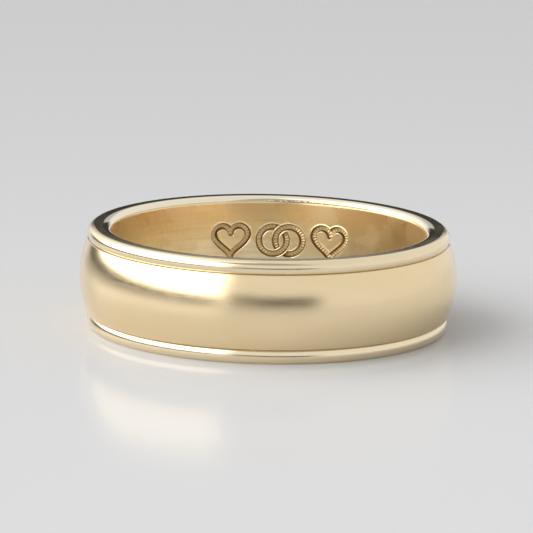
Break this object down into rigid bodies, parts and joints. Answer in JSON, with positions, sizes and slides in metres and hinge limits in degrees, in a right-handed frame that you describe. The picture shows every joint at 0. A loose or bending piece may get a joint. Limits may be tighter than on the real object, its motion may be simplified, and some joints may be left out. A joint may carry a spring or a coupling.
{
  "type": "wedding band",
  "caption": "Plain gold wedding band: satin domed centre, narrow polished rails and a comfort-fit bore with a small engraved ornament.",
  "frame": {"origin": "centre of the lower end face's plane, on the bore axis, where the band rests when it lies flat", "axes": "+Z along the bore axis, up from the face it rests on; +Y towards the engraved ornament inside the bore"},
  "size_m": [0.0224, 0.0224, 0.006],
  "materials": {
    "satin_gold": "satin, brushed round the band",
    "polished_gold": "mirror polished",
    "bore_gold": "semi-polished, fine turning marks"
  },
  "bodies": {
    "root": {"comfort_sleeve": "bore_gold", "domed_band": "satin_gold", "upper_edge_ring": "polished_gold", "lower_edge_ring": "polished_gold"}
  },
  "joints": []
}
